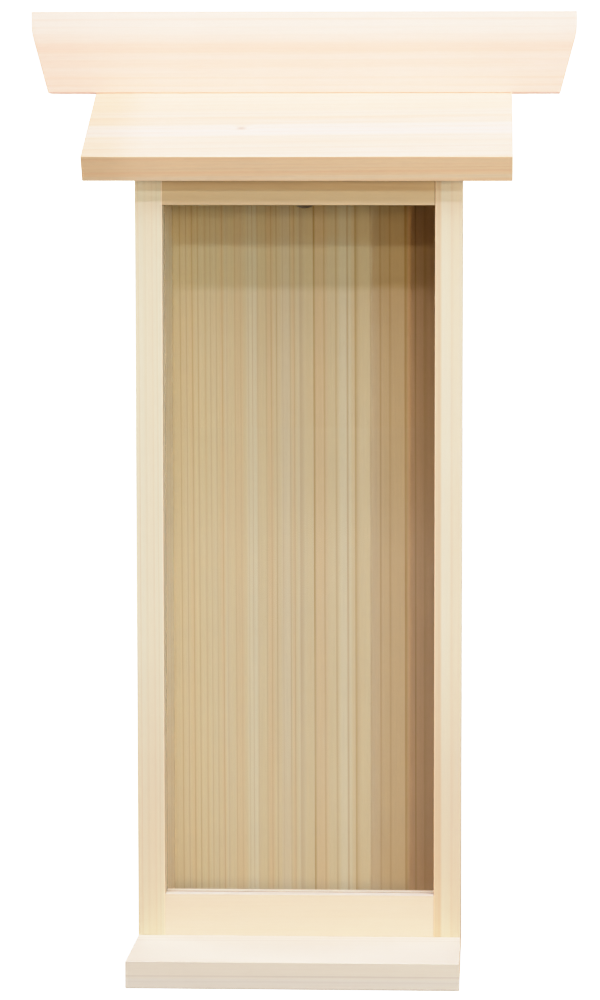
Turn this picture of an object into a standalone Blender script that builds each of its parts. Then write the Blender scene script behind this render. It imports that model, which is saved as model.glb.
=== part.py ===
# Household altar cabinet: a tall, shallow box of pale cypress boards that keeps a
# paper shrine tablet behind a clear pane. It has a sloping roof board, a plain ridge
# board with slanted ends and a deep base board that makes a shelf in front.
#
# Frame: metres, +Z up, the shelf towards -Y, the flat back towards +Y and +X on the
# right for someone who looks at the front. The origin is under the middle of the base.

from math import acos, cos, pi, radians, sin, tan

import bmesh
import bpy
from mathutils import Vector

# Cabinet
CABINET_WIDTH = 0.132
CABINET_DEPTH = 0.047
SIDE_THICKNESS = 0.011
BACK_THICKNESS = 0.006
OPENING_HEIGHT = 0.281

# Base board, whose front part is the shelf
BASE_THICKNESS = 0.011
SHELF_DEPTH = 0.048

# Rails above and below the opening
RAIL_DEPTH = 0.012
BOTTOM_RAIL_HEIGHT = 0.017
TOP_RAIL_HEIGHT = 0.0145

# Roof board
ROOF_THICKNESS = 0.011
ROOF_SLOPE = radians(28.5)
ROOF_SIDE_OVERHANG = 0.020
EAVE_OVERHANG = 0.015

# Ridge board
RIDGE_THICKNESS = 0.011
RIDGE_HEIGHT = 0.0335
RIDGE_SIDE_OVERHANG = 0.0265
RIDGE_END_STRAIGHT = 0.0085
RIDGE_END_INSET = 0.0067
RIDGE_CORNER_RADIUS = 0.020

# Clear pane, loose in its two grooves: it lifts into the deep upper groove until it
# clears the lower one, and then swings out at the foot
PANE_THICKNESS = 0.002
PANE_SIDE_PLAY = 0.0003
GROOVE_SETBACK = 0.0053
GROOVE_PLAY = 0.0003
LOWER_GROOVE_DEPTH = 0.0025
PANE_TUCK = 0.0035
LIFT_SPARE = 0.002

# Hanging hole in the back board, with a thin steel keyhole plate let in behind it
HANGING_HOLE_RADIUS = 0.0065
HANGING_HOLE_ABOVE_OPENING = 0.0058
PLATE_WIDTH = 0.018
PLATE_HEIGHT = 0.031
PLATE_THICKNESS = 0.0012
PLATE_CORNER_RADIUS = 0.002
KEYHOLE_RADIUS = 0.0025
KEYHOLE_DROP = 0.0013
KEYHOLE_SLOT_WIDTH = 0.0026
KEYHOLE_SLOT_LENGTH = 0.0045

# Plate screws
SCREW_HEAD_RADIUS = 0.0022
SCREW_HEAD_HEIGHT = 0.0011
SCREW_SHANK_RADIUS = 0.0010
SCREW_LENGTH = 0.0045
SCREW_FROM_PLATE_END = 0.0042
CROSS_WIDTH = 0.0006
CROSS_LENGTH = 0.0024
CROSS_DEPTH = 0.0006

# Finish and fits
GAP = 0.0003
EASED_EDGE = 0.0004
PANE_EASED_EDGE = 0.0003
EASED_ABOVE = radians(25)
SMOOTH_BELOW = radians(30)
CUT_PAST = 0.001
MERGED_WITHIN = 1e-6
ROUND_SIDES = 32
ARC_STEPS = 6

# Depths, from the front of the cabinet backwards
base_depth = SHELF_DEPTH + CABINET_DEPTH
front_y = SHELF_DEPTH - base_depth / 2
back_y = front_y + CABINET_DEPTH
back_board_y = back_y - BACK_THICKNESS
rail_back_y = front_y + RAIL_DEPTH
ridge_front_y = back_y - RIDGE_THICKNESS
groove_front_y = front_y + GROOVE_SETBACK
groove_back_y = groove_front_y + PANE_THICKNESS + 2 * GROOVE_PLAY

# Heights, from the ground upwards
floor_z = BASE_THICKNESS
sill_z = floor_z + BOTTOM_RAIL_HEIGHT
opening_top_z = sill_z + OPENING_HEIGHT
roof_front_z = opening_top_z + TOP_RAIL_HEIGHT
hole_z = opening_top_z + HANGING_HOLE_ABOVE_OPENING

# Widths, from the middle outwards
half_width = CABINET_WIDTH / 2
inner_half_width = half_width - SIDE_THICKNESS
roof_half_width = half_width + ROOF_SIDE_OVERHANG
ridge_half_width = roof_half_width + RIDGE_SIDE_OVERHANG

# What stands under the roof stays this far below it, straight down
under_roof_gap = GAP / cos(ROOF_SLOPE)


def roof_under_z(y):
    """Height of the roof board's underside above a depth y."""
    return roof_front_z + (y - front_y) * tan(ROOF_SLOPE)


def roof_top_z(y):
    """Height of the roof board's upper face above a depth y."""
    return roof_under_z(y) + ROOF_THICKNESS / cos(ROOF_SLOPE)


ridge_seat_z = roof_top_z(ridge_front_y)


def make_material(name, colour, roughness, metallic=0.0, see_through=0.0):
    material = bpy.data.materials.new(name)
    material.use_nodes = True
    shader = material.node_tree.nodes["Principled BSDF"]
    shader.inputs["Base Color"].default_value = (*colour, 1.0)
    shader.inputs["Roughness"].default_value = roughness
    shader.inputs["Metallic"].default_value = metallic
    shader.inputs["Transmission Weight"].default_value = see_through
    return material


CYPRESS_SIDE = make_material("cypress_side", (0.82, 0.69, 0.50), 0.6)
CYPRESS_BACK = make_material("cypress_back", (0.74, 0.58, 0.39), 0.6)
CYPRESS_RAIL = make_material("cypress_rail", (0.86, 0.74, 0.56), 0.6)
CYPRESS_BASE = make_material("cypress_base", (0.85, 0.76, 0.62), 0.6)
CYPRESS_ROOF = make_material("cypress_roof", (0.86, 0.73, 0.57), 0.6)
CYPRESS_RIDGE = make_material("cypress_ridge", (0.90, 0.79, 0.66), 0.6)
CLEAR_ACRYLIC = make_material("clear_acrylic", (1.0, 1.0, 1.0), 0.05, see_through=1.0)
ZINC_STEEL = make_material("zinc_steel", (0.45, 0.45, 0.44), 0.4, metallic=1.0)


def add_object(name, mesh, material):
    item = bpy.data.objects.new(name, mesh)
    bpy.context.scene.collection.objects.link(item)
    if material is not None:
        mesh.materials.append(material)
    return item


def prism(name, outline, low, high, axis, material):
    """A solid whose outline, a list of (across, up) pairs, runs from low to high along an axis."""
    shape = bmesh.new()
    rings = []
    for along in (low, high):
        if axis == "X":
            ring = [shape.verts.new((along, across, up)) for across, up in outline]
        else:
            ring = [shape.verts.new((across, along, up)) for across, up in outline]
        rings.append(ring)
    count = len(outline)
    for i in range(count):
        j = (i + 1) % count
        shape.faces.new((rings[0][i], rings[0][j], rings[1][j], rings[1][i]))
    shape.faces.new(rings[0])
    shape.faces.new(rings[1])
    bmesh.ops.recalc_face_normals(shape, faces=shape.faces)
    mesh = bpy.data.meshes.new(name)
    shape.to_mesh(mesh)
    shape.free()
    return add_object(name, mesh, material)


def turned(name, profile, x, z, material):
    """A round solid on an axis along Y, from (radius, y) pairs that start and end on the axis."""
    shape = bmesh.new()
    points = [shape.verts.new((radius, y, 0.0)) for radius, y in profile]
    edges = [shape.edges.new(pair) for pair in zip(points, points[1:])]
    bmesh.ops.spin(shape, geom=points + edges, cent=(0, 0, 0), axis=(0, 1, 0),
                   angle=2 * pi, steps=ROUND_SIDES, use_merge=True)
    bmesh.ops.remove_doubles(shape, verts=shape.verts, dist=MERGED_WITHIN)
    bmesh.ops.recalc_face_normals(shape, faces=shape.faces)
    mesh = bpy.data.meshes.new(name)
    shape.to_mesh(mesh)
    shape.free()
    mesh.shade_smooth()
    mesh.set_sharp_from_angle(angle=SMOOTH_BELOW)
    item = add_object(name, mesh, material)
    item.location = (x, 0, z)
    return item


def rectangle(low_across, high_across, low_up, high_up):
    return [(low_across, low_up), (high_across, low_up), (high_across, high_up), (low_across, high_up)]


def arc(centre, radius, start, end, steps=ARC_STEPS):
    """Points of an arc between two angles, both ends included."""
    points = []
    for i in range(steps + 1):
        angle = start + (end - start) * i / steps
        points.append((centre[0] + radius * cos(angle), centre[1] + radius * sin(angle)))
    return points


def ease_edges(item, width=EASED_EDGE):
    bevel = item.modifiers.new("eased edges", "BEVEL")
    bevel.width = width
    bevel.segments = 1
    bevel.limit_method = "ANGLE"
    bevel.angle_limit = EASED_ABOVE


def cut(item, cutter):
    """Takes the cutter's shape out of the item, and keeps the cutter as a hidden guide."""
    cutter.hide_render = True
    cutter.display_type = "WIRE"
    boolean = item.modifiers.new("cut by " + cutter.name, "BOOLEAN")
    boolean.operation = "DIFFERENCE"
    boolean.object = cutter


# Base board

def make_base_board():
    outline = rectangle(front_y - SHELF_DEPTH, back_y, 0.0, floor_z)
    ease_edges(prism("base_board", outline, -half_width, half_width, "X", CYPRESS_BASE))


# Side boards, whose tops follow the roof

def make_side_boards():
    outline = [
        (front_y, floor_z + GAP),
        (back_y, floor_z + GAP),
        (back_y, roof_under_z(back_y) - under_roof_gap),
        (front_y, roof_under_z(front_y) - under_roof_gap),
    ]
    for name, side in (("side_board_left", -1), ("side_board_right", 1)):
        faces = sorted((side * inner_half_width, side * half_width))
        ease_edges(prism(name, outline, *faces, "X", CYPRESS_SIDE))


# Rails between the side boards, each with its groove for the pane

def make_bottom_rail():
    groove_z = sill_z - LOWER_GROOVE_DEPTH
    outline = [
        (front_y, floor_z + GAP),
        (rail_back_y, floor_z + GAP),
        (rail_back_y, sill_z),
        (groove_back_y, sill_z),
        (groove_back_y, groove_z),
        (groove_front_y, groove_z),
        (groove_front_y, sill_z),
        (front_y, sill_z),
    ]
    half_length = inner_half_width - GAP
    ease_edges(prism("bottom_rail", outline, -half_length, half_length, "X", CYPRESS_RAIL))


def make_top_rail():
    lift = LOWER_GROOVE_DEPTH + LIFT_SPARE
    groove_z = opening_top_z + PANE_TUCK + lift
    outline = [
        (front_y, opening_top_z),
        (groove_front_y, opening_top_z),
        (groove_front_y, groove_z),
        (groove_back_y, groove_z),
        (groove_back_y, opening_top_z),
        (rail_back_y, opening_top_z),
        (rail_back_y, roof_under_z(rail_back_y) - under_roof_gap),
        (front_y, roof_under_z(front_y) - under_roof_gap),
    ]
    half_length = inner_half_width - GAP
    ease_edges(prism("top_rail", outline, -half_length, half_length, "X", CYPRESS_RAIL))


# Clear pane, standing in the lower groove

def make_front_pane():
    half_length = inner_half_width - PANE_SIDE_PLAY
    pane_y = groove_front_y + GROOVE_PLAY
    foot_z = sill_z - LOWER_GROOVE_DEPTH + GAP
    outline = rectangle(pane_y, pane_y + PANE_THICKNESS, foot_z, opening_top_z + PANE_TUCK)
    pane = prism("front_pane", outline, -half_length, half_length, "X", CLEAR_ACRYLIC)
    ease_edges(pane, PANE_EASED_EDGE)


# Roof board: square at the eave, flush with the back, and cut level under the ridge board

def make_roof_board():
    eave_top_y = front_y - EAVE_OVERHANG
    eave_top = Vector((eave_top_y, roof_top_z(eave_top_y)))
    eave_low = eave_top + ROOF_THICKNESS * Vector((sin(ROOF_SLOPE), -cos(ROOF_SLOPE)))
    outline = [
        tuple(eave_low),
        (back_y, roof_under_z(back_y)),
        (back_y, ridge_seat_z),
        (ridge_front_y, ridge_seat_z),
        tuple(eave_top),
    ]
    ease_edges(prism("roof_board", outline, -roof_half_width, roof_half_width, "X", CYPRESS_ROOF))


# Ridge board, standing on the level seat

def ridge_end_corner():
    """The rounded corner of the right end, where the straight part turns into the slant."""
    slant_height = RIDGE_HEIGHT - GAP - RIDGE_END_STRAIGHT
    slant = Vector((RIDGE_END_INSET, slant_height)).normalized()
    turn = Vector((0, 1)).angle(slant)
    corner_z = ridge_seat_z + RIDGE_HEIGHT - RIDGE_END_STRAIGHT
    centre_z = corner_z + RIDGE_CORNER_RADIUS * tan(turn / 2)
    centre = (ridge_half_width - RIDGE_CORNER_RADIUS, centre_z)
    return arc(centre, RIDGE_CORNER_RADIUS, -turn, 0.0)


def make_ridge_board():
    foot_z = ridge_seat_z + GAP
    top_z = ridge_seat_z + RIDGE_HEIGHT
    foot_half_width = ridge_half_width - RIDGE_END_INSET
    right = [(foot_half_width, foot_z)] + ridge_end_corner() + [(ridge_half_width, top_z)]
    left = [(-x, z) for x, z in reversed(right)]
    ease_edges(prism("ridge_board", right + left, ridge_front_y, back_y, "Y", CYPRESS_RIDGE))


# Back board, with the hanging hole and the seats of the plate and its screws

plate_seat_y = back_y - PLATE_THICKNESS - GAP
screw_heights = [hole_z + side * (PLATE_HEIGHT / 2 - SCREW_FROM_PLATE_END) for side in (-1, 1)]


def rounded_rectangle(half_across, half_up, radius, middle_up):
    points = []
    corners = ((1, 1, 0), (-1, 1, pi / 2), (-1, -1, pi), (1, -1, 3 * pi / 2))
    for side, level, start in corners:
        centre = (side * (half_across - radius), middle_up + level * (half_up - radius))
        points += arc(centre, radius, start, start + pi / 2)
    return points


def screw_profile(grown):
    """The screw's outline from head to tip, made larger all round to give its seat."""
    head_y = back_y + (CUT_PAST if grown else 0.0)
    head_radius = SCREW_HEAD_RADIUS + grown
    shank_radius = SCREW_SHANK_RADIUS + grown
    return [
        (0.0, head_y),
        (head_radius, head_y),
        (head_radius, back_y),
        (shank_radius, back_y - SCREW_HEAD_HEIGHT),
        (shank_radius, back_y - SCREW_LENGTH - grown),
        (0.0, back_y - SCREW_LENGTH - grown),
    ]


def make_screw_seats(prefix):
    seats = []
    for i, z in enumerate(screw_heights):
        seats.append(turned("%s_screw_seat_%d" % (prefix, i + 1), screw_profile(GAP), 0.0, z, None))
    return seats


def make_back_board():
    outline = [
        (back_board_y, floor_z + GAP),
        (back_y, floor_z + GAP),
        (back_y, roof_under_z(back_y) - under_roof_gap),
        (back_board_y, roof_under_z(back_board_y) - under_roof_gap),
    ]
    half_length = inner_half_width - GAP
    board = prism("back_board", outline, -half_length, half_length, "X", CYPRESS_BACK)
    ease_edges(board)
    hole = [(0.0, back_board_y - CUT_PAST), (HANGING_HOLE_RADIUS, back_board_y - CUT_PAST),
            (HANGING_HOLE_RADIUS, back_y + CUT_PAST), (0.0, back_y + CUT_PAST)]
    cut(board, turned("hanging_hole_cutter", hole, 0.0, hole_z, None))
    seat = rounded_rectangle(PLATE_WIDTH / 2 + GAP, PLATE_HEIGHT / 2 + GAP, PLATE_CORNER_RADIUS + GAP, hole_z)
    cut(board, prism("plate_seat_cutter", seat, plate_seat_y, back_y + CUT_PAST, "Y", None))
    for seat in make_screw_seats("board"):
        cut(board, seat)


# Hanging plate and its screws

def make_hanging_plate():
    outline = rounded_rectangle(PLATE_WIDTH / 2, PLATE_HEIGHT / 2, PLATE_CORNER_RADIUS, hole_z)
    plate_front_y = back_y - PLATE_THICKNESS
    plate = prism("hanging_plate", outline, plate_front_y, back_y, "Y", ZINC_STEEL)
    keyhole_z = hole_z - KEYHOLE_DROP
    slot_top_z = keyhole_z + KEYHOLE_SLOT_LENGTH
    slot_half = KEYHOLE_SLOT_WIDTH / 2
    entry_angle = acos(slot_half / KEYHOLE_RADIUS)
    keyhole = arc((0.0, slot_top_z), slot_half, 0.0, pi)
    keyhole += arc((0.0, keyhole_z), KEYHOLE_RADIUS, pi - entry_angle, 2 * pi + entry_angle, ROUND_SIDES)
    cut(plate, prism("keyhole_cutter", keyhole, plate_front_y - CUT_PAST, back_y + CUT_PAST, "Y", None))
    for seat in make_screw_seats("plate"):
        cut(plate, seat)


def make_plate_screws():
    for name, z in zip(("plate_screw_lower", "plate_screw_upper"), screw_heights):
        screw = turned(name, screw_profile(0.0), 0.0, z, ZINC_STEEL)
        for label, half_x, half_z in (("level", CROSS_LENGTH / 2, CROSS_WIDTH / 2),
                                      ("upright", CROSS_WIDTH / 2, CROSS_LENGTH / 2)):
            outline = rectangle(-half_x, half_x, z - half_z, z + half_z)
            cutter_name = "%s_%s_cutter" % (name, label)
            cut(screw, prism(cutter_name, outline, back_y - CROSS_DEPTH, back_y + CUT_PAST, "Y", None))


for leftover in list(bpy.data.objects):
    bpy.data.objects.remove(leftover, do_unlink=True)

make_base_board()
make_side_boards()
make_bottom_rail()
make_top_rail()
make_back_board()
make_front_pane()
make_roof_board()
make_ridge_board()
make_hanging_plate()
make_plate_screws()
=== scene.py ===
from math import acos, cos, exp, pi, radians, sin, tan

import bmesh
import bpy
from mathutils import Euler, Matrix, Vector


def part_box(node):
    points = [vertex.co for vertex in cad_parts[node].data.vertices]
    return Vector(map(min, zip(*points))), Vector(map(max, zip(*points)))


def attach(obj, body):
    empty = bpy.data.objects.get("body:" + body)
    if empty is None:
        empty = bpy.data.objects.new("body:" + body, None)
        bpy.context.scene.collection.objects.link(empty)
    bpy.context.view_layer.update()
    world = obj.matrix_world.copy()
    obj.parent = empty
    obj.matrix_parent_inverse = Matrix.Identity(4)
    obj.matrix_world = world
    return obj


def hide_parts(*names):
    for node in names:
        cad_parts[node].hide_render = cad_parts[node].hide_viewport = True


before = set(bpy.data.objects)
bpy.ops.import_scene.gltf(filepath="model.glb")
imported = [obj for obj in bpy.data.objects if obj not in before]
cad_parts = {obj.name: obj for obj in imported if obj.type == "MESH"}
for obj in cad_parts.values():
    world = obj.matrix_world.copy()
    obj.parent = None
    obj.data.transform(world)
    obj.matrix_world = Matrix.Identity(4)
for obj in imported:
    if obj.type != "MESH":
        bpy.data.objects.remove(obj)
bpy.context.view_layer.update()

# Household altar cabinet: a tall, shallow box of pale cypress boards with a sloping roof
# board, a ridge board with slanted ends, a base board that makes a shelf in front, and a
# clear pane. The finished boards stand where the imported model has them, with softer
# edges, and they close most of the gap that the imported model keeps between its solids.
#
# Metres, +Z up, the shelf towards -Y, the flat back towards +Y.

# Camera, fitted to the corners of the boards in the photograph
CAMERA_PLACE = Vector((0.07537, -1.24704, 0.28774))
CAMERA_TURN = radians(1.8313)
CAMERA_PITCH = radians(4.4945)
CAMERA_ROLL = radians(0.0626)
CAMERA_LENS = 111.41
CAMERA_SENSOR = 36.0
CAMERA_SHIFT = (-0.0863, 0.0014)
CAMERA_NEAR = 0.05
CAMERA_FAR = 50.0

# Light. Each lamp is a softbox: its place, its width and height, and its power in red,
# green and blue. The strips on the right and the two above throw the shadows in the
# cabinet, and the overhead softbox lights the roof and the shelf. The last two stand
# further back than the cabinet and light its sides and its back.
LAMPS = (
    ("warm right strip", (0.585, -2.0, 0.33), (0.06, 0.55), (11.5, 7.9, 4.4)),
    ("far right strip", (1.37, -2.0, 0.33), (0.06, 0.55), (10.8, 11.0, 9.8)),
    ("cool right strip", (1.37, -2.0, 1.04), (0.06, 0.30), (0.6, 3.8, 6.4)),
    ("upper strip", (0.12, -2.0, 1.10), (1.0, 0.08), (8.0, 7.0, 5.7)),
    ("high strip", (0.0, -1.7, 1.72), (1.0, 0.12), (11.2, 10.1, 12.0)),
    ("overhead softbox", (0.0, -0.8, 2.3), (1.8, 1.8), (36.0, 36.0, 41.0)),
    ("left softbox", (-2.2, 1.1, 0.9), (1.0, 1.2), (31.0, 28.5, 26.5)),
    ("right softbox", (2.2, 1.1, 0.9), (1.0, 1.2), (25.0, 23.0, 22.0)),
)
LAMPS_AIM = Vector((0.0, 0.0, 0.25))

# The camera sees the world and the floor as white. The world also gives a warm fill. The
# floor also glows behind the cabinet, more and more between two distances from its middle.
FILL_COLOUR = (1.0, 0.40, 0.12, 1.0)
FILL_STRENGTH = 0.11
WHITE_STRENGTH = 2.5
FLOOR_HALF_SIZE = 4.0
FLOOR_PALE = (0.33, 0.33, 0.33, 1.0)
FLOOR_GLOW = 1.75
BACK_GLOW = 2.0
BACK_GLOW_FROM = 0.08
BACK_GLOW_TO = 0.5

# Exposure curve: deepened shadows and a soft shoulder under white
LIGHTEST = 1.7
SHADOW_DEPTH = 0.12
SHOULDER = 0.7
COMBINED_CURVE = 3
CURVE_LIGHTS = (0.03, 0.06, 0.10, 0.16, 0.25, 0.36, 0.50, 0.65, 0.80, 0.95, 1.10, 1.30, 1.50)

# Roof board, ridge board and grooves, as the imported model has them, but for the grooves'
# front wall, which stands 0.2 mm nearer the pane
ROOF_SLOPE = radians(28.5)
ROOF_THICKNESS = 0.011
ROOF_FRONT_Z = 0.3235
EAVE_OVERHANG = 0.015
RIDGE_END_STRAIGHT = 0.0085
RIDGE_END_INSET = 0.0067
RIDGE_CORNER_RADIUS = 0.020
GROOVE_SETBACK = 0.0055
GROOVE_WIDTH = 0.0024
LOWER_GROOVE_DEPTH = 0.0025
UPPER_GROOVE_DEPTH = 0.008

# Hanging hole, steel plate and screws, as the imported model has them, and the cross in the
# screws' heads, which it leaves out
HOLE_RADIUS = 0.0065
HOLE_Z = 0.3148
PLATE_CORNER_RADIUS = 0.002
KEYHOLE_RADIUS = 0.0025
KEYHOLE_DROP = 0.0013
KEYHOLE_SLOT_WIDTH = 0.0026
KEYHOLE_SLOT_LENGTH = 0.0045
SCREW_HEAD_RADIUS = 0.0022
SCREW_HEAD_HEIGHT = 0.0011
SCREW_SHANK_RADIUS = 0.0010
SCREW_LENGTH = 0.0045
SCREW_SPACING = 0.0226
CROSS_WIDTH = 0.0006
CROSS_LENGTH = 0.0024
CROSS_DEPTH = 0.0006
SCREW_COUNT = 2
MOST_SCREW_TURN = 1.2
SCREW_TURN_SEED = 4

# Fits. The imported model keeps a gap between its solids. A finished board is longer by
# CLOSE_IN where it meets another, and the top rail's right end by LOOSE_END.
MODEL_GAP = 0.0003
CLOSE_IN = 0.00028
LOOSE_END = 0.00014

# Rounded edges, how far a cutter reaches past a face, and the fineness of round shapes
BOARD_EDGE = 0.0004
JOINT_EDGE = 0.00006
STEEL_EDGE = 0.00012
EDGE_STEPS = 3
EASED_ABOVE = radians(25)
CUT_PAST = 0.001
MERGED_WITHIN = 1e-6
ROUND_SIDES = 48
ARC_STEPS = 10

# Planed wood. A noise is its features in a metre across the grain, its detail and its
# roughness. A draw is what is left of that scale along the grain. The patches have the
# wander's draw and their own.
WANDER_NOISE = (26.0, 2.0, 0.5)
WANDER_DRAW = 0.10
PATCH_NOISE = (130.0, 5.0, 0.7)
PATCH_DRAW = 0.6
FIBRE_NOISE = (1500.0, 3.0, 0.6)
FIBRE_DRAW = 0.012
PORE_NOISE = (1300.0, 2.0, 0.6)
PORE_DRAW = 0.15
FADING_NOISE = (60.0, 2.0, 0.5)
FADING_DRAW = 0.15
CLOUD_NOISE = (22.0, 3.0, 0.55)
CLOUD_SWING = 0.025

# Widths and bands of the rings: noises along the count of the rings, and how far the seed
# shifts them
WIDTH_SCALE = 0.6
WIDTH_DETAIL = 1.0
WIDTH_SWING = 0.55
WIDTH_SHIFT = 7.0
BAND_DETAIL = 2.0
BAND_SHIFT = 3.0

# The line of late wood. It starts and is full at shares of its own width before the
# ring's end, and ends in the ring's last part. Some rings and stretches are fainter.
LINE_START = 1.6
LINE_FULL = 0.35
LINE_END = 0.93
LEAST_RING = 0.35
LEAST_STRETCH = 0.7
FADING_RANGE = (0.35, 0.65)
INNER_LINE_BEFORE = 0.006
INNER_LINE_AFTER = 0.004

# How strongly the wood takes each colour, and the parts of a noise that take it
WARM_BANDS = (0.50, 0.66)
PALE_BANDS = (0.34, 0.50)
BAND_SHARE = 0.9
WARM_PATCHES = (0.50, 0.72)
PALE_PATCHES = (0.28, 0.50)
PATCH_SHARE = 0.4
ZONE_SHARE = 0.85
STRIPE_CORE = 0.5
STRIPE_SHARE = 0.8
FACING_RANGE = (0.7, 0.95)

# The knot, in its own radii: its edge, and how far the rings bend round it
KNOT_EDGE = (0.25, 1.0)
KNOT_SHARE = 0.7
KNOT_BENDS = (0.3, 2.5)
KNOT_BEND = 0.0009

# Surface of planed wood
WOOD_ROUGHNESS = 0.5
FIBRE_ROUGHNESS = 0.16
LINE_ROUGHNESS = 0.05
WOOD_SPECULAR = 0.35
LINE_HEIGHT = 0.5
FIBRE_HEIGHT = 0.6
WOOD_BUMP = 0.5
WOOD_BUMP_DEPTH = 0.00004

# Clear acrylic with faint traces of wiping
WIPING_NOISE = (40.0, 3.0, 0.5)
WIPING_DRAW = 0.35
WIPING_RANGE = (0.45, 0.8)
ACRYLIC_ROUGHNESS = 0.012
WIPED_ROUGHNESS = 0.03
ACRYLIC_IOR = 1.49

# Zinc plated steel
ROLLED_NOISE = (2600.0, 2.0, 0.5)
ROLLED_DRAW = 0.08
DULL_NOISE = (260.0, 4.0, 0.6)
DULL_RANGE = (0.3, 0.75)
STEEL_ROUGHNESS = 0.32
DULL_ROUGHNESS = 0.14
ROLLED_ROUGHNESS = 0.06
STEEL_BUMP = 0.3
STEEL_BUMP_DEPTH = 0.00002


# Node trees

class Value:
    """A socket of a node tree, on which Python's operators add Math nodes."""

    def __init__(self, tree, socket):
        self.tree = tree
        self.socket = socket

    def worked(self, operation, *values):
        return self.tree.add("ShaderNodeMath", {"operation": operation}, dict(enumerate(values)))

    def __add__(self, other):
        return self.worked("ADD", self, other)

    def __radd__(self, other):
        return self.worked("ADD", other, self)

    def __sub__(self, other):
        return self.worked("SUBTRACT", self, other)

    def __rsub__(self, other):
        return self.worked("SUBTRACT", other, self)

    def __mul__(self, other):
        return self.worked("MULTIPLY", self, other)

    def __rmul__(self, other):
        return self.worked("MULTIPLY", other, self)

    def __truediv__(self, other):
        return self.worked("DIVIDE", self, other)

    def __rtruediv__(self, other):
        return self.worked("DIVIDE", other, self)

    def __abs__(self):
        return self.worked("ABSOLUTE", self)

    def whole(self):
        return self.worked("FLOOR", self)

    def fraction(self):
        return self.worked("FRACT", self)

    def at_least(self, other):
        return self.worked("MAXIMUM", self, other)

    def rising(self, low, high):
        """0 below low, 1 above high and a smooth rise between them."""
        return self.tree.add("ShaderNodeMapRange", {"interpolation_type": "SMOOTHSTEP"},
                             {"Value": self, "From Min": low, "From Max": high})

    def passing(self, start, end):
        """0 before start and 1 past end, also where end is lower than start."""
        share = self.rising(min(start, end), max(start, end))
        return 1.0 - share if end < start else share

    def swing(self, most):
        """A noise from 0 to 1, turned into one from -most to most."""
        return (self - 0.5) * (2 * most)


class Tree:
    """Adds nodes to a shader or geometry node tree."""

    def __init__(self, nodes):
        self.nodes = nodes

    def add(self, kind, settings=None, values=None, output=0):
        """A node of a kind: its settings first, then the values or links of its sockets."""
        node = self.nodes.nodes.new(kind)
        for name, setting in (settings or {}).items():
            setattr(node, name, setting)
        for name, value in (values or {}).items():
            if isinstance(value, Value):
                self.nodes.links.new(value.socket, node.inputs[name])
            else:
                node.inputs[name].default_value = value
        if not node.outputs:
            return node
        return Value(self, node.outputs[output])

    def other_output(self, value, name):
        return Value(self, value.socket.node.outputs[name])

    def blend(self, share, first, second, mode="MIX"):
        """Colour between two colours: the first at share 0, the second at share 1."""
        settings = {"data_type": "RGBA", "blend_type": mode, "clamp_factor": True}
        return self.add("ShaderNodeMix", settings, {0: share, 6: first, 7: second}, output=2)

    def tinted(self, share, base, tint):
        """The base colour at share 0, and the base times the tint at share 1."""
        return self.blend(share, base, self.blend(1.0, base, tint, "MULTIPLY"))

    def vector(self, operation, first, second, output=0):
        settings = {"operation": operation}
        return self.add("ShaderNodeVectorMath", settings, {0: first, 1: second}, output)

    def along(self, vector, axis):
        """How far a vector reaches along an axis."""
        return self.vector("DOT_PRODUCT", vector, axis, output=1)

    def length(self, vector):
        return self.add("ShaderNodeVectorMath", {"operation": "LENGTH"}, {0: vector}, output=1)

    def scaled(self, vector, factor):
        values = {0: vector, "Scale": factor}
        return self.add("ShaderNodeVectorMath", {"operation": "SCALE"}, values)

    def drawn_out(self, place, share):
        """The place with only a share of its Z, which draws a pattern out along Z."""
        return self.vector("MULTIPLY", place, (1.0, 1.0, share))

    def noise(self, place, scale, detail, roughness):
        """Smooth noise from 0 to 1."""
        return self.add("ShaderNodeTexNoise", {"noise_dimensions": "3D"},
                        {"Vector": place, "Scale": scale, "Detail": detail, "Roughness": roughness})

    def noise_along(self, count, scale, detail):
        """Smooth noise from 0 to 1 along one number."""
        return self.add("ShaderNodeTexNoise", {"noise_dimensions": "1D"},
                        {"W": count, "Scale": scale, "Detail": detail})


def new_material(name):
    material = bpy.data.materials.new(name)
    material.use_nodes = True
    material.node_tree.nodes.clear()
    return material, Tree(material.node_tree)


def colour(red, green, blue):
    return (red, green, blue, 1.0)


WHITE = colour(1.0, 1.0, 1.0)
KNOT_COLOUR = colour(0.60, 0.50, 0.42)
ACRYLIC_COLOUR = colour(0.985, 0.99, 0.985)
ACRYLIC_SHADOW = colour(0.93, 0.94, 0.93)
BRIGHT_ZINC = colour(0.42, 0.46, 0.54)
DULL_ZINC = colour(0.32, 0.34, 0.38)


# Wood

def grain_turn(along, slope=0.0, lean=0.0, fall=0.0):
    """The turn that brings a board's grain, which runs along X or Z, to the pattern's Z axis.

    slope lays a sloping board flat first. lean and fall tip the grain a little, so that the
    ring lines aren't quite parallel to the board.
    """
    lay_flat = Matrix.Rotation(-slope, 3, "X")
    upright = Matrix.Rotation(-pi / 2, 3, "Y") if along == "X" else Matrix.Identity(3)
    return Euler((lean, fall, 0.0)).to_matrix() @ upright @ lay_flat


def ring_count(tree, radius, ring_width, inner_width, inner_reach, seed):
    """How many rings lie between the pith and a place. Their widths vary a little."""
    if inner_width is None:
        count = radius / ring_width
    else:
        further = (radius - inner_reach).at_least(0.0)
        count = (radius - further) / inner_width + further / ring_width
    widths = tree.noise_along(count + seed * WIDTH_SHIFT, WIDTH_SCALE, WIDTH_DETAIL)
    return count + widths.swing(WIDTH_SWING)


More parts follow.
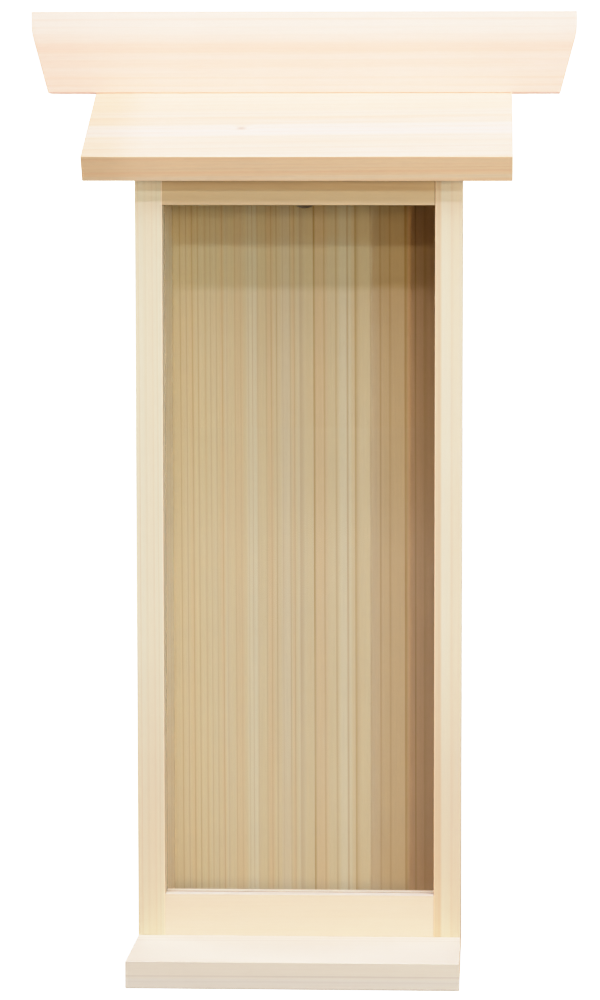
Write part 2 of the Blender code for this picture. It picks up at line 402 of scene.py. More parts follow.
def ring_lines(tree, grown, count, line_share, seed):
    """The darker line at the end of each ring: 0 in the early wood, up to 1 in the line."""
    part = count.fraction()
    line = part.rising(1.0 - LINE_START * line_share, 1.0 - LINE_FULL * line_share)
    line = line * (1.0 - part.rising(LINE_END, 1.0))
    own = tree.add("ShaderNodeTexWhiteNoise", {"noise_dimensions": "1D"},
                   {"W": count.whole() + seed})
    stretch = tree.noise(tree.drawn_out(grown, FADING_DRAW), *FADING_NOISE).rising(*FADING_RANGE)
    line = line * (LEAST_RING + (1.0 - LEAST_RING) * own)
    return line * (LEAST_STRETCH + (1.0 - LEAST_STRETCH) * stretch)


def make_wood(name, turn, pith, early, late, warm, pale, ring_width, inner_width=None,
              inner_reach=0.0, line=0.5, inner_line=None, line_share=0.3, wander=0.0008,
              band_rings=3.0, streak=0.03, grit=0.02, seed=0.0, zones=(), stripes=(),
              drifts=(), tints=(), knot=None):
    """Planed cypress, grown round a pith line that passes through the point pith.

    early and late are the colours of the wood and of its ring lines, and warm and pale those
    of its warmer and paler bands and patches. A band is about band_rings rings wide. Rings
    are ring_width wide, or inner_width within inner_reach of the pith, and wander is how far
    they leave their circle. The last line_share of a ring is its line, whose strength is
    line, or inner_line within inner_reach. streak and grit are the strengths of fibres and
    pores. Each zone is two distances from the pith, between which the wood turns to another
    colour; on the back board the zones are partly painted shade. Each stripe is a distance
    from the pith, half a width and the colour of the wood there. Each drift is an axis, two
    places along it and the tint that the wood takes on from the first to the second; on the
    side boards one paints light on their inner faces. tints gives the faces across an axis a
    tint: the sawn ends their own darker tone, and some long faces painted light and others
    painted shade. A knot is its place and its radii.
    """
    material, tree = new_material(name)
    where = tree.add("ShaderNodeTexCoord", output="Object")
    facing = tree.other_output(where, "Normal")
    grown = tree.add("ShaderNodeMapping", {"vector_type": "POINT"}, {
        "Vector": where,
        "Location": tuple(-(turn @ Vector(pith))),
        "Rotation": tuple(turn.to_euler()),
    })
    slow = tree.vector("ADD", tree.drawn_out(grown, WANDER_DRAW), (seed, 0.0, 0.0))
    radius = tree.length(tree.drawn_out(grown, 0.0))
    radius = radius + tree.noise(slow, *WANDER_NOISE).swing(wander)
    if knot is not None:
        knot_place, knot_size = knot
        from_knot = tree.vector("SUBTRACT", where, knot_place)
        reach = tree.length(tree.vector("DIVIDE", from_knot, knot_size))
        radius = radius + (1.0 - reach.rising(*KNOT_BENDS)) * KNOT_BEND
    count = ring_count(tree, radius, ring_width, inner_width, inner_reach, seed)
    ring_line = ring_lines(tree, grown, count, line_share, seed)
    strength = line
    if inner_line is not None:
        outside = radius.rising(inner_reach - INNER_LINE_BEFORE, inner_reach + INNER_LINE_AFTER)
        strength = inner_line + outside * (line - inner_line)

    bands = tree.noise_along(count + seed * BAND_SHIFT, 1.0 / band_rings, BAND_DETAIL)
    patches = tree.noise(tree.drawn_out(slow, PATCH_DRAW), *PATCH_NOISE)
    fibres = tree.noise(tree.drawn_out(grown, FIBRE_DRAW), *FIBRE_NOISE)
    pores = tree.noise(tree.drawn_out(grown, PORE_DRAW), *PORE_NOISE)
    clouds = tree.noise(tree.vector("ADD", where, (seed, seed, 0.0)), *CLOUD_NOISE)

    base = tree.blend(bands.rising(*WARM_BANDS) * BAND_SHARE, early, warm)
    base = tree.blend((1.0 - bands.rising(*PALE_BANDS)) * BAND_SHARE, base, pale)
    base = tree.blend(patches.rising(*WARM_PATCHES) * PATCH_SHARE, base, warm)
    base = tree.blend((1.0 - patches.rising(*PALE_PATCHES)) * PATCH_SHARE, base, pale)
    for start, end, zone_colour in zones:
        base = tree.blend(radius.passing(start, end) * ZONE_SHARE, base, zone_colour)
    for centre, half, stripe_colour in stripes:
        share = 1.0 - (abs(radius - centre) / half).rising(STRIPE_CORE, 1.0)
        base = tree.blend(share * STRIPE_SHARE, base, stripe_colour)
    base = tree.blend(ring_line * strength, base, late)
    if knot is not None:
        base = tree.blend((1.0 - reach.rising(*KNOT_EDGE)) * KNOT_SHARE, base, KNOT_COLOUR)
    shade = 1.0 + fibres.swing(streak) + pores.swing(grit) + clouds.swing(CLOUD_SWING)
    base = tree.scaled(base, shade)
    for axis, start, end, tint in drifts:
        base = tree.tinted(tree.along(where, axis).passing(start, end), base, tint)
    for axis, tint in tints:
        base = tree.tinted(abs(tree.along(facing, axis)).rising(*FACING_RANGE), base, tint)

    bump = tree.add("ShaderNodeBump", {}, {
        "Strength": WOOD_BUMP,
        "Distance": WOOD_BUMP_DEPTH,
        "Height": ring_line * LINE_HEIGHT + fibres * FIBRE_HEIGHT,
    })
    shader = tree.add("ShaderNodeBsdfPrincipled", {}, {
        "Base Color": base,
        "Roughness": WOOD_ROUGHNESS + fibres * FIBRE_ROUGHNESS + ring_line * LINE_ROUGHNESS,
        "Normal": bump,
        "Specular IOR Level": WOOD_SPECULAR,
    })
    tree.add("ShaderNodeOutputMaterial", {}, {"Surface": shader})
    return material


# Clear acrylic and plated steel

def make_clear_acrylic():
    """A clear sheet, which lets light and shadows through and tints them a little."""
    material, tree = new_material("clear_acrylic")
    where = tree.add("ShaderNodeTexCoord", output="Object")
    wiped = tree.noise(tree.drawn_out(where, WIPING_DRAW), *WIPING_NOISE)
    sheet = tree.add("ShaderNodeBsdfPrincipled", {}, {
        "Base Color": ACRYLIC_COLOUR,
        "Roughness": ACRYLIC_ROUGHNESS + wiped.rising(*WIPING_RANGE) * WIPED_ROUGHNESS,
        "IOR": ACRYLIC_IOR,
        "Transmission Weight": 1.0,
    })
    lets_through = tree.add("ShaderNodeBsdfTransparent", {}, {"Color": ACRYLIC_SHADOW})
    path = tree.add("ShaderNodeLightPath", output="Is Shadow Ray")
    spread = tree.other_output(path, "Is Diffuse Ray")
    shader = tree.add("ShaderNodeMixShader", {},
                      {0: path.at_least(spread), 1: sheet, 2: lets_through})
    tree.add("ShaderNodeOutputMaterial", {}, {"Surface": shader})
    return material


def make_zinc_steel():
    material, tree = new_material("zinc_steel")
    where = tree.add("ShaderNodeTexCoord", output="Object")
    rolled = tree.noise(tree.drawn_out(where, ROLLED_DRAW), *ROLLED_NOISE)
    dull = tree.noise(where, *DULL_NOISE).rising(*DULL_RANGE)
    bump = tree.add("ShaderNodeBump", {},
                    {"Strength": STEEL_BUMP, "Distance": STEEL_BUMP_DEPTH, "Height": rolled})
    shader = tree.add("ShaderNodeBsdfPrincipled", {}, {
        "Base Color": tree.blend(dull, BRIGHT_ZINC, DULL_ZINC),
        "Metallic": 1.0,
        "Roughness": STEEL_ROUGHNESS + dull * DULL_ROUGHNESS + rolled * ROLLED_ROUGHNESS,
        "Normal": bump,
    })
    tree.add("ShaderNodeOutputMaterial", {}, {"Surface": shader})
    return material


# The finishes

ACROSS = (1.0, 0.0, 0.0)
DEEP = (0.0, 1.0, 0.0)
UP = (0.0, 0.0, 1.0)
UP_THE_ROOF = (0.0, cos(ROOF_SLOPE), sin(ROOF_SLOPE))
END_TINT = colour(0.88, 0.82, 0.74)
ENDS_X = (ACROSS, END_TINT)
ENDS_Z = (UP, END_TINT)

# The side boards get browner from a height of 0.15 m down to 0.03 m, and their inner face
# is painted paler than the outer one: painted light for the shade inside the cabinet
INNER_FACE_FROM = 0.0557
INNER_FACE_TO = 0.0551
INNER_PAINTED_LIGHT = colour(1.20, 1.12, 1.12)
SIDE_FOOT = (UP, 0.15, 0.03, colour(0.935, 0.885, 0.84))

BASE_WOOD = make_wood(
    "base_cypress",
    turn=grain_turn("X", lean=0.004, fall=0.004),
    pith=(0.0, -0.028, -0.030),
    early=colour(0.94, 0.88, 0.755),
    late=colour(0.68, 0.62, 0.54),
    warm=colour(0.94, 0.86, 0.73),
    pale=colour(0.92, 0.88, 0.785),
    ring_width=0.0030, line=0.48, line_share=0.26, wander=0.0012, seed=1.3,
    # The front and back faces are painted darker than the top: painted shade
    tints=(ENDS_X, (DEEP, colour(0.755, 0.805, 0.84))))
SIDE_LEFT_WOOD = make_wood(
    "side_cypress_left",
    turn=grain_turn("Z", lean=0.004),
    pith=(-0.17, 0.05, 0.0),
    early=colour(0.74, 0.735, 0.61),
    late=colour(0.66, 0.60, 0.45),
    warm=colour(0.75, 0.72, 0.59),
    pale=colour(0.735, 0.74, 0.63),
    ring_width=0.0021, line=0.5, wander=0.0005, seed=2.1,
    drifts=(SIDE_FOOT, (ACROSS, -INNER_FACE_FROM, -INNER_FACE_TO, INNER_PAINTED_LIGHT)),
    tints=(ENDS_Z,))
SIDE_RIGHT_WOOD = make_wood(
    "side_cypress_right",
    turn=grain_turn("Z", lean=-0.004),
    pith=(0.21, 0.06, 0.0),
    early=colour(0.745, 0.73, 0.61),
    late=colour(0.68, 0.55, 0.40),
    warm=colour(0.76, 0.705, 0.57),
    pale=colour(0.74, 0.74, 0.645),
    ring_width=0.0039, line=0.5, wander=0.0004, seed=3.7,
    zones=((0.1627, 0.1637, colour(0.71, 0.625, 0.465)),),
    drifts=(SIDE_FOOT, (ACROSS, INNER_FACE_FROM, INNER_FACE_TO, INNER_PAINTED_LIGHT)),
    tints=(ENDS_Z,))
BACK_WOOD = make_wood(
    "back_cypress",
    turn=grain_turn("Z", fall=0.003),
    pith=(0.185, 0.11, 0.0),
    early=colour(0.635, 0.58, 0.418),
    late=colour(0.43, 0.31, 0.15),
    warm=colour(0.64, 0.545, 0.38),
    pale=colour(0.635, 0.595, 0.47),
    ring_width=0.0024, inner_width=0.0043, inner_reach=0.1985, line=0.52, inner_line=0.85,
    line_share=0.20, wander=0.0004, band_rings=2.4, streak=0.06, grit=0.03, seed=4.9,
    zones=(
        (0.241, 0.246, colour(0.63, 0.56, 0.40)),
        # Towards the right the wood turns warmer and darker: partly its own tone, partly painted
        # shade where the far right strip's light is shut out
        (0.176, 0.160, colour(0.615, 0.54, 0.37)),
        # Behind the right side board the wood turns darker and redder: the painted shadow of that
        # board
        (0.1573, 0.1562, colour(0.615, 0.455, 0.285)),
    ),
    stripes=(
        (0.2175, 0.0027, colour(0.655, 0.635, 0.51)),
        (0.1808, 0.0030, colour(0.655, 0.635, 0.51)),
    ),
    tints=(ENDS_Z,))
BOTTOM_RAIL_WOOD = make_wood(
    "rail_cypress_lower",
    turn=grain_turn("X", fall=0.01),
    pith=(0.0, 0.35, 0.05),
    early=colour(0.745, 0.665, 0.555),
    late=colour(0.66, 0.56, 0.43),
    warm=colour(0.755, 0.655, 0.53),
    pale=colour(0.745, 0.67, 0.575),
    ring_width=0.0030, line=0.2, wander=0.0012, seed=5.2,
    # The top face, the sill in front of the pane, is painted lighter and cooler: a painted
    # highlight
    tints=(ENDS_X, (UP, colour(1.26, 1.35, 1.47))))
# The upper rail is darker than the lower one: partly its own tone, partly painted shade under the
# eave
TOP_RAIL_WOOD = make_wood(
    "rail_cypress_upper",
    turn=grain_turn("X", fall=-0.006),
    pith=(0.0, 0.35, 0.25),
    early=colour(0.65, 0.565, 0.395),
    late=colour(0.54, 0.43, 0.27),
    warm=colour(0.66, 0.55, 0.375),
    pale=colour(0.66, 0.585, 0.43),
    ring_width=0.0022, line=0.3, wander=0.0010, seed=8.6,
    tints=(ENDS_X,))
ROOF_WOOD = make_wood(
    "roof_cypress",
    turn=grain_turn("X", slope=ROOF_SLOPE, lean=0.008, fall=0.006),
    pith=(0.0, 0.02, 0.10),
    early=colour(0.94, 0.80, 0.64),
    late=colour(0.85, 0.63, 0.46),
    warm=colour(0.94, 0.73, 0.56),
    pale=colour(0.93, 0.85, 0.74),
    ring_width=0.0019, line=0.42, wander=0.0012, streak=0.05, grit=0.05, seed=6.4,
    zones=((0.2425, 0.2490, colour(0.94, 0.74, 0.565)),),
    drifts=((ACROSS, -0.058, -0.080, colour(0.92, 0.90, 0.87)),),
    # The eave's face, which faces forward and down, is painted darker: painted shade
    tints=(ENDS_X, (UP_THE_ROOF, colour(0.875, 0.865, 0.78))),
    knot=((-0.0235, 0.008, 0.3395), (0.0030, 0.002, 0.002)))
RIDGE_WOOD = make_wood(
    "ridge_cypress",
    turn=grain_turn("X", lean=0.006),
    pith=(0.0, 0.0, 0.25),
    early=colour(0.94, 0.73, 0.63),
    late=colour(0.88, 0.62, 0.49),
    warm=colour(0.94, 0.68, 0.575),
    pale=colour(0.94, 0.785, 0.705),
    ring_width=0.0032, line=0.30, wander=0.0016, streak=0.05, grit=0.03, seed=7.8,
    zones=((0.1280, 0.1385, colour(0.94, 0.85, 0.76)),),
    tints=(ENDS_X,))
CLEAR_ACRYLIC = make_clear_acrylic()
ZINC_STEEL = make_zinc_steel()


# Mesh tools

def new_object(name, mesh, material):
    item = bpy.data.objects.new(name, mesh)
    bpy.context.scene.collection.objects.link(item)
    if material is not None:
        mesh.materials.append(material)
    return item


def closed_solid(name, shape, material):
    """The object that a closed shape gives, with its faces turned outwards."""
    bmesh.ops.recalc_face_normals(shape, faces=shape.faces)
    mesh = bpy.data.meshes.new(name)
    shape.to_mesh(mesh)
    shape.free()
    return new_object(name, mesh, material)


def prism(name, outline, low, high, axis, material=None):
    """A solid whose outline, a list of (across, up) pairs, runs from low to high along an axis."""
    shape = bmesh.new()
    rings = []
    for along in (low, high):
        if axis == "X":
            ring = [shape.verts.new((along, across, up)) for across, up in outline]
        else:
            ring = [shape.verts.new((across, along, up)) for across, up in outline]
        rings.append(ring)
    count = len(outline)
    for i in range(count):
        j = (i + 1) % count
        shape.faces.new((rings[0][i], rings[0][j], rings[1][j], rings[1][i]))
    shape.faces.new(rings[0])
    shape.faces.new(rings[1])
    return closed_solid(name, shape, material)


def turned(name, profile, z, material=None):
    """A round solid on an axis along Y at height z.

    Its profile is (radius, y) pairs that start and end on the axis.
    """
    shape = bmesh.new()
    points = [shape.verts.new((radius, y, z)) for radius, y in profile]
    edges = [shape.edges.new(pair) for pair in zip(points, points[1:])]
    bmesh.ops.spin(shape, geom=points + edges, cent=(0, 0, z), axis=(0, 1, 0),
                   angle=2 * pi, steps=ROUND_SIDES, use_merge=True)
    bmesh.ops.remove_doubles(shape, verts=shape.verts, dist=MERGED_WITHIN)
    return closed_solid(name, shape, material)


def rectangle(low_across, high_across, low_up, high_up):
    return [
        (low_across, low_up),
        (high_across, low_up),
        (high_across, high_up),
        (low_across, high_up),
    ]


def arc(centre, radius, start, end, steps=ARC_STEPS):
    """Points of an arc between two angles, both ends included."""
    points = []
    for i in range(steps + 1):
        angle = start + (end - start) * i / steps
        points.append((centre[0] + radius * cos(angle), centre[1] + radius * sin(angle)))
    return points


def rounded_rectangle(half_across, half_up, radius, middle_up):
    points = []
    corners = ((1, 1, 0), (-1, 1, pi / 2), (-1, -1, pi), (1, -1, 3 * pi / 2))
    for side, level, start in corners:
        centre = (side * (half_across - radius), middle_up + level * (half_up - radius))
        points += arc(centre, radius, start, start + pi / 2)
    return points


def plain_mesh(item):
    """Gives the object the mesh that its modifiers make, and takes them off."""
    graph = bpy.context.evaluated_depsgraph_get()
    mesh = bpy.data.meshes.new_from_object(item.evaluated_get(graph))
    item.modifiers.clear()
    item.data = mesh


def cut(item, *cutters):
    """Takes the cutters' shapes out of the item and removes the cutters."""
    for cutter in cutters:
        boolean = item.modifiers.new("cut", "BOOLEAN")
        boolean.operation = "DIFFERENCE"
        boolean.solver = "EXACT"
        boolean.object = cutter
    plain_mesh(item)
    for cutter in cutters:
        bpy.data.objects.remove(cutter)


def round_edges(item, width):
    item.data.shade_smooth()
    bevel = item.modifiers.new("rounded edges", "BEVEL")
    bevel.width = width
    bevel.segments = EDGE_STEPS
    bevel.limit_method = "ANGLE"
    bevel.angle_limit = EASED_ABOVE
    bevel.harden_normals = True
    plain_mesh(item)


def hand_over(item, slot, *nodes):
    """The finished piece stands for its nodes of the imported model."""
    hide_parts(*nodes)
    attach(item, "root")


# Places that several boards share

side_low, side_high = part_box("side_board_right")
front_y = side_low.y
back_y = side_high.y
half_width = side_high.x
inner_half_width = side_low.x
roof_growth = CLOSE_IN / cos(ROOF_SLOPE)
model_roof_gap = MODEL_GAP / cos(ROOF_SLOPE)


def roof_under_z(y):
    """Height of the roof board's underside at a depth y."""
    return ROOF_FRONT_Z + (y - front_y) * tan(ROOF_SLOPE)


def roof_top_z(y):
    return roof_under_z(y) + ROOF_THICKNESS / cos(ROOF_SLOPE)


def under_roof_z(y):
    """Top of a finished board that stands under the roof board."""
    return roof_under_z(y) - model_roof_gap + roof_growth


# Boards

def make_base_board():
    low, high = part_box("base_board")
    outline = rectangle(low.y, high.y, low.z, high.z)
    board = prism("base_board_planed", outline, low.x, high.x, "X", BASE_WOOD)
    round_edges(board, BOARD_EDGE)
    hand_over(board, "base_cypress", "base_board")


def make_side_boards():
    foot_z = side_low.z - CLOSE_IN
    outline = [
        (front_y, foot_z),
        (back_y, foot_z),
        (back_y, under_roof_z(back_y)),
        (front_y, under_roof_z(front_y)),
    ]
    for name, side, wood in (("left", -1, SIDE_LEFT_WOOD), ("right", 1, SIDE_RIGHT_WOOD)):
        faces = sorted((side * inner_half_width, side * half_width))
        board = prism("side_board_%s_planed" % name, outline, *faces, "X", wood)
        round_edges(board, JOINT_EDGE)
        hand_over(board, "side_cypress", "side_board_" + name)


def make_bottom_rail():
    low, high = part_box("bottom_rail")
    groove_front_y = low.y + GROOVE_SETBACK
    groove_back_y = groove_front_y + GROOVE_WIDTH
    groove_z = high.z - LOWER_GROOVE_DEPTH
    outline = [
        (low.y, low.z - CLOSE_IN),
        (high.y, low.z - CLOSE_IN),
        (high.y, high.z),
        (groove_back_y, high.z),
        (groove_back_y, groove_z),
        (groove_front_y, groove_z),
        (groove_front_y, high.z),
        (low.y, high.z),
    ]
    left, right = low.x - CLOSE_IN, high.x + CLOSE_IN
    rail = prism("bottom_rail_planed", outline, left, right, "X", BOTTOM_RAIL_WOOD)
    round_edges(rail, JOINT_EDGE)
    hand_over(rail, "rail_cypress", "bottom_rail")


def make_top_rail():
    low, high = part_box("top_rail")
    groove_front_y = low.y + GROOVE_SETBACK
    groove_back_y = groove_front_y + GROOVE_WIDTH
    groove_z = low.z + UPPER_GROOVE_DEPTH
    outline = [
        (low.y, low.z),
        (groove_front_y, low.z),
        (groove_front_y, groove_z),
        (groove_back_y, groove_z),
        (groove_back_y, low.z),
        (high.y, low.z),
        (high.y, under_roof_z(high.y)),
        (low.y, under_roof_z(low.y)),
    ]
    left, right = low.x - CLOSE_IN, high.x + LOOSE_END
    rail = prism("top_rail_planed", outline, left, right, "X", TOP_RAIL_WOOD)
    round_edges(rail, JOINT_EDGE)
    hand_over(rail, "rail_cypress", "top_rail")


def make_front_pane():
    low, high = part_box("front_pane")
    outline = rectangle(low.y, high.y, low.z, high.z)
    pane = prism("front_pane_clear", outline, low.x, high.x, "X", CLEAR_ACRYLIC)
    round_edges(pane, JOINT_EDGE)
    hand_over(pane, "clear_acrylic", "front_pane")


def make_roof_board():
    low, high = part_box("roof_board")
    ridge_front_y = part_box("ridge_board")[0].y
    seat_z = roof_top_z(ridge_front_y)
    eave_top_y = front_y - EAVE_OVERHANG
    eave_top = Vector((eave_top_y, roof_top_z(eave_top_y)))
    eave_low = eave_top + ROOF_THICKNESS * Vector((sin(ROOF_SLOPE), -cos(ROOF_SLOPE)))
    outline = [
        tuple(eave_low),
        (back_y, roof_under_z(back_y)),
        (back_y, seat_z),
        (ridge_front_y, seat_z),
        tuple(eave_top),
    ]
    board = prism("roof_board_planed", outline, low.x, high.x, "X", ROOF_WOOD)
    round_edges(board, BOARD_EDGE)
    hand_over(board, "roof_cypress", "roof_board")


def make_ridge_board():
    low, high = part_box("ridge_board")
    foot_z = low.z - CLOSE_IN
    slant = Vector((RIDGE_END_INSET, high.z - low.z - RIDGE_END_STRAIGHT)).normalized()
    turn = Vector((0, 1)).angle(slant)
    corner_z = high.z - RIDGE_END_STRAIGHT
    centre = (high.x - RIDGE_CORNER_RADIUS, corner_z + RIDGE_CORNER_RADIUS * tan(turn / 2))
    right = [(high.x - RIDGE_END_INSET, foot_z)]
    right += arc(centre, RIDGE_CORNER_RADIUS, -turn, 0.0)
    right.append((high.x, high.z))
    left = [(-x, z) for x, z in reversed(right)]
    board = prism("ridge_board_planed", right + left, low.y, high.y, "Y", RIDGE_WOOD)
    round_edges(board, BOARD_EDGE)
    hand_over(board, "ridge_cypress", "ridge_board")


# Back board, hanging plate and screws

def screw_profile(grown):
    """The screw's outline from head to tip, made larger all round to give its seat."""
    head_y = back_y + (CUT_PAST if grown else 0.0)
    head_radius = SCREW_HEAD_RADIUS + grown
    shank_radius = SCREW_SHANK_RADIUS + grown
    return [
        (0.0, head_y),
        (head_radius, head_y),
        (head_radius, back_y),
        (shank_radius, back_y - SCREW_HEAD_HEIGHT),
        (shank_radius, back_y - SCREW_LENGTH - grown),
        (0.0, back_y - SCREW_LENGTH - grown),
    ]


def screw_seats():
    heights = (HOLE_Z - SCREW_SPACING / 2, HOLE_Z + SCREW_SPACING / 2)
    return [turned("screw_seat", screw_profile(MODEL_GAP), z) for z in heights]


def make_back_board():
    low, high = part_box("back_board")
    outline = [
        (low.y, low.z - CLOSE_IN),
        (high.y, low.z - CLOSE_IN),
        (high.y, under_roof_z(high.y)),
        (low.y, under_roof_z(low.y)),
    ]
    left, right = low.x - CLOSE_IN, high.x + CLOSE_IN
    board = prism("back_board_planed", outline, left, right, "X", BACK_WOOD)
    hole = [(0.0, low.y - CUT_PAST), (HOLE_RADIUS, low.y - CUT_PAST),
            (HOLE_RADIUS, high.y + CUT_PAST), (0.0, high.y + CUT_PAST)]
    plate_low, plate_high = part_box("hanging_plate")
    half_across = plate_high.x + MODEL_GAP
    half_up = (plate_high.z - plate_low.z) / 2 + MODEL_GAP
    seat = rounded_rectangle(half_across, half_up, PLATE_CORNER_RADIUS + MODEL_GAP, HOLE_Z)
    cut(board,
        turned("hole_cutter", hole, HOLE_Z),
        prism("seat_cutter", seat, plate_low.y - MODEL_GAP, high.y + CUT_PAST, "Y"),
        *screw_seats())
    round_edges(board, JOINT_EDGE)
    hand_over(board, "back_cypress", "back_board")


def make_hanging_plate():
    low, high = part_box("hanging_plate")
    outline = rounded_rectangle(high.x, (high.z - low.z) / 2, PLATE_CORNER_RADIUS, HOLE_Z)
    plate = prism("hanging_plate_plated", outline, low.y, high.y, "Y", ZINC_STEEL)
    keyhole_z = HOLE_Z - KEYHOLE_DROP
    slot_half = KEYHOLE_SLOT_WIDTH / 2
    entry = acos(slot_half / KEYHOLE_RADIUS)
    keyhole = arc((0.0, keyhole_z + KEYHOLE_SLOT_LENGTH), slot_half, 0.0, pi)
    keyhole += arc((0.0, keyhole_z), KEYHOLE_RADIUS, pi - entry, 2 * pi + entry, ROUND_SIDES)
    cut(plate,
        prism("keyhole_cutter", keyhole, low.y - CUT_PAST, high.y + CUT_PAST, "Y"),
        *screw_seats())
    round_edges(plate, STEEL_EDGE)
    hand_over(plate, "zinc_steel", "hanging_plate")


def make_screw_pattern():
    """One countersunk screw with a cross recess, at the origin of the row of screws."""
    screw = turned("screw_pattern", [(radius, y - back_y) for radius, y in screw_profile(0.0)], 0.0)
    half_long = CROSS_LENGTH / 2
    half_thin = CROSS_WIDTH / 2
    level = rectangle(-half_long, half_long, -half_thin, half_thin)
    upright = rectangle(-half_thin, half_thin, -half_long, half_long)
    cut(screw,
        prism("level_cutter", level, -CROSS_DEPTH, CUT_PAST, "Y"),
        prism("upright_cutter", upright, -CROSS_DEPTH, CUT_PAST, "Y"))
    round_edges(screw, STEEL_EDGE / 2)
    return screw


def screw_row_tree():
    """Geometry nodes: a row of screws, each turned about its own axis."""
    group = bpy.data.node_groups.new("screw row", "GeometryNodeTree")
    inputs = (
        ("Screw", "NodeSocketObject"),
        ("Count", "NodeSocketInt"),
        ("First Place", "NodeSocketVector"),
        ("Step", "NodeSocketVector"),
        ("Most Turn", "NodeSocketFloat"),
        ("Seed", "NodeSocketInt"),
        ("Material", "NodeSocketMaterial"),
    )
    for name, kind in inputs:
        group.interface.new_socket(name, in_out="INPUT", socket_type=kind)
    group.interface.new_socket("Geometry", in_out="OUTPUT", socket_type="NodeSocketGeometry")
    tree = Tree(group)
    given = tree.add("NodeGroupInput")
    screw = tree.add("GeometryNodeObjectInfo", {"transform_space": "ORIGINAL"},
                     {"Object": given}, output="Geometry")
    points = tree.add("GeometryNodeMeshLine", {"mode": "OFFSET"}, {
        "Count": tree.other_output(given, "Count"),
        "Start Location": tree.other_output(given, "First Place"),
        "Offset": tree.other_output(given, "Step"),
    })
    turn = tree.add("FunctionNodeRandomValue", {"data_type": "FLOAT"}, {
        3: tree.other_output(given, "Most Turn"),
        "Seed": tree.other_output(given, "Seed"),
    }, output=1)
    angles = tree.add("ShaderNodeCombineXYZ", {}, {"Y": turn})
    rotation = tree.add("FunctionNodeEulerToRotation", {}, {0: angles})
    placed = tree.add("GeometryNodeInstanceOnPoints", {},
                      {"Points": points, "Instance": screw, "Rotation": rotation})
    real = tree.add("GeometryNodeRealizeInstances", {}, {"Geometry": placed})
    dressed = tree.add("GeometryNodeSetMaterial", {}, {
        "Geometry": real,
        "Material": tree.other_output(given, "Material"),
    })
    tree.add("NodeGroupOutput", {}, {"Geometry": dressed})
    return group


def make_plate_screws():
    pattern = make_screw_pattern()
    screws = new_object("plate_screws_plated", bpy.data.meshes.new("plate_screws_plated"), None)
    row = screws.modifiers.new("screw row", "NODES")
    row.node_group = screw_row_tree()
    values = {
        "Screw": pattern,
        "Count": SCREW_COUNT,
        "First Place": (0.0, back_y, HOLE_Z - SCREW_SPACING / 2),
        "Step": (0.0, 0.0, SCREW_SPACING),
        "Most Turn": MOST_SCREW_TURN,
        "Seed": SCREW_TURN_SEED,
        "Material": ZINC_STEEL,
    }
    for socket in row.node_group.interface.items_tree:
        if socket.in_out == "INPUT":
            row[socket.identifier] = values[socket.name]
    plain_mesh(screws)
    bpy.data.objects.remove(pattern)
    hand_over(screws, "zinc_steel", "plate_screw_lower", "plate_screw_upper")


# Floor, light and camera

def make_floor():
    """A pale floor. Behind the cabinet it glows, and lights the back and the undersides there."""
    material, tree = new_material("pale_floor")
    plain = tree.add("ShaderNodeBsdfDiffuse", {}, {"Color": FLOOR_PALE})
    where = tree.add("ShaderNodeTexCoord", output="Object")
    depth = tree.add("ShaderNodeSeparateXYZ", {}, {0: where}, output="Y")
    behind = tree.add("ShaderNodeEmission", {}, {"Strength": BACK_GLOW})
    dark = tree.add("ShaderNodeEmission", {}, {"Strength": 0.0})
    glow_share = depth.rising(BACK_GLOW_FROM, BACK_GLOW_TO)
    table = tree.add("ShaderNodeMixShader", {}, {0: glow_share, 1: dark, 2: behind})
    white = tree.add("ShaderNodeEmission", {}, {"Color": WHITE, "Strength": FLOOR_GLOW})
    seen = tree.add("ShaderNodeLightPath", output="Is Camera Ray")
    glow = tree.add("ShaderNodeMixShader", {}, {0: seen, 1: table, 2: white})
    shader = tree.add("ShaderNodeAddShader", {}, {0: plain, 1: glow})
    tree.add("ShaderNodeOutputMaterial", {}, {"Surface": shader})
    mesh = bpy.data.meshes.new("floor")
    reach = FLOOR_HALF_SIZE
    corners = [(-reach, -reach, 0), (reach, -reach, 0), (reach, reach, 0), (-reach, reach, 0)]
    mesh.from_pydata(corners, [], [(0, 1, 2, 3)])
    new_object("floor", mesh, material)


def make_world():
    world = bpy.data.worlds.new("soft fill")
    world.use_nodes = True
    world.node_tree.nodes.clear()
    tree = Tree(world.node_tree)
    seen = tree.add("ShaderNodeLightPath", output="Is Camera Ray")
    fill = tree.add("ShaderNodeBackground", {}, {"Color": FILL_COLOUR, "Strength": FILL_STRENGTH})
    white = tree.add("ShaderNodeBackground", {}, {"Color": WHITE, "Strength": WHITE_STRENGTH})
    shader = tree.add("ShaderNodeMixShader", {}, {0: seen, 1: fill, 2: white})
    tree.add("ShaderNodeOutputWorld", {}, {"Surface": shader})
    bpy.context.scene.world = world


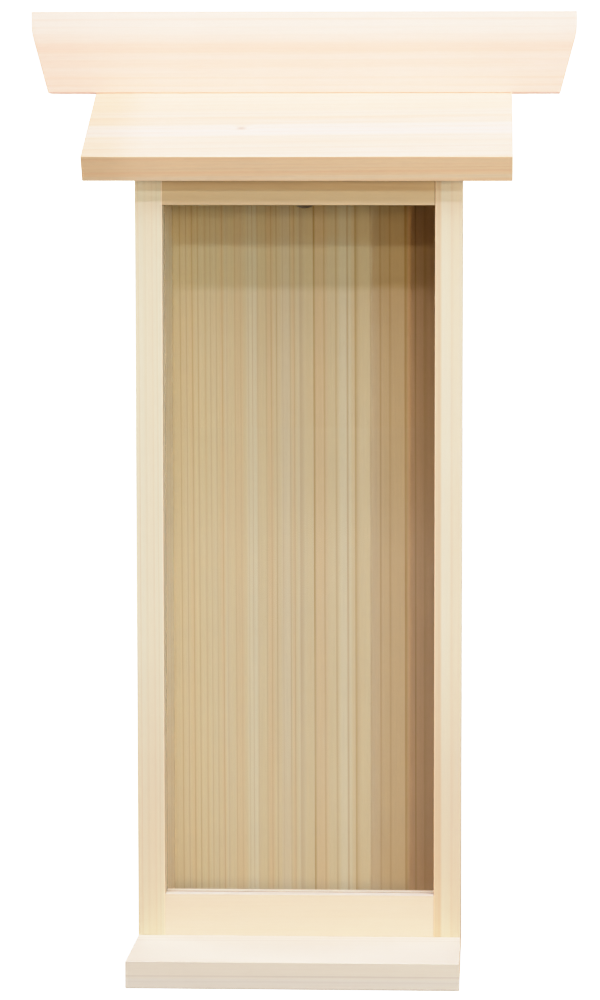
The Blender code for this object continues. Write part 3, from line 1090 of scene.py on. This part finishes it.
def make_lights():
    for name, place, size, power in LAMPS:
        lamp = bpy.data.lights.new(name, "AREA")
        lamp.shape = "RECTANGLE"
        lamp.size, lamp.size_y = size
        lamp.energy = max(power)
        lamp.color = [share / max(power) for share in power]
        item = bpy.data.objects.new(name, lamp)
        item.location = place
        item.rotation_euler = (LAMPS_AIM - item.location).to_track_quat("-Z", "Y").to_euler()
        bpy.context.scene.collection.objects.link(item)


def print_tone(light):
    """The tone that the exposure curve gives to a light, both 1 at white."""
    tone = (1 + SHADOW_DEPTH) * light ** 2 / (light + SHADOW_DEPTH)
    if tone < SHOULDER:
        return tone
    return 1 - (1 - SHOULDER) * exp((SHOULDER - tone) / (1 - SHOULDER))


def set_exposure():
    view = bpy.context.scene.view_settings
    view.view_transform = "Standard"
    view.use_curve_mapping = True
    view.curve_mapping.white_level = (LIGHTEST,) * 3
    tones = view.curve_mapping.curves[COMBINED_CURVE]
    for light in CURVE_LIGHTS:
        tones.points.new(light / LIGHTEST, print_tone(light))
    view.curve_mapping.update()


def make_camera():
    forward = Vector((-sin(CAMERA_TURN) * cos(CAMERA_PITCH), cos(CAMERA_TURN) * cos(CAMERA_PITCH),
                      -sin(CAMERA_PITCH)))
    right = Vector((cos(CAMERA_TURN), sin(CAMERA_TURN), 0.0))
    up = right.cross(forward)
    rolled_right = right * cos(CAMERA_ROLL) + up * sin(CAMERA_ROLL)
    rolled_up = up * cos(CAMERA_ROLL) - right * sin(CAMERA_ROLL)
    camera = bpy.data.cameras.new("camera")
    camera.lens = CAMERA_LENS
    camera.sensor_width = CAMERA_SENSOR
    camera.shift_x, camera.shift_y = CAMERA_SHIFT
    camera.clip_start = CAMERA_NEAR
    camera.clip_end = CAMERA_FAR
    item = bpy.data.objects.new("camera", camera)
    turn = Matrix((rolled_right, rolled_up, -forward)).transposed()
    item.matrix_world = Matrix.Translation(CAMERA_PLACE) @ turn.to_4x4()
    bpy.context.scene.collection.objects.link(item)
    bpy.context.scene.camera = item


make_camera()
make_world()
make_lights()
make_floor()
set_exposure()

make_base_board()
make_side_boards()
make_bottom_rail()
make_top_rail()
make_back_board()
make_front_pane()
make_roof_board()
make_ridge_board()
make_hanging_plate()
make_plate_screws()
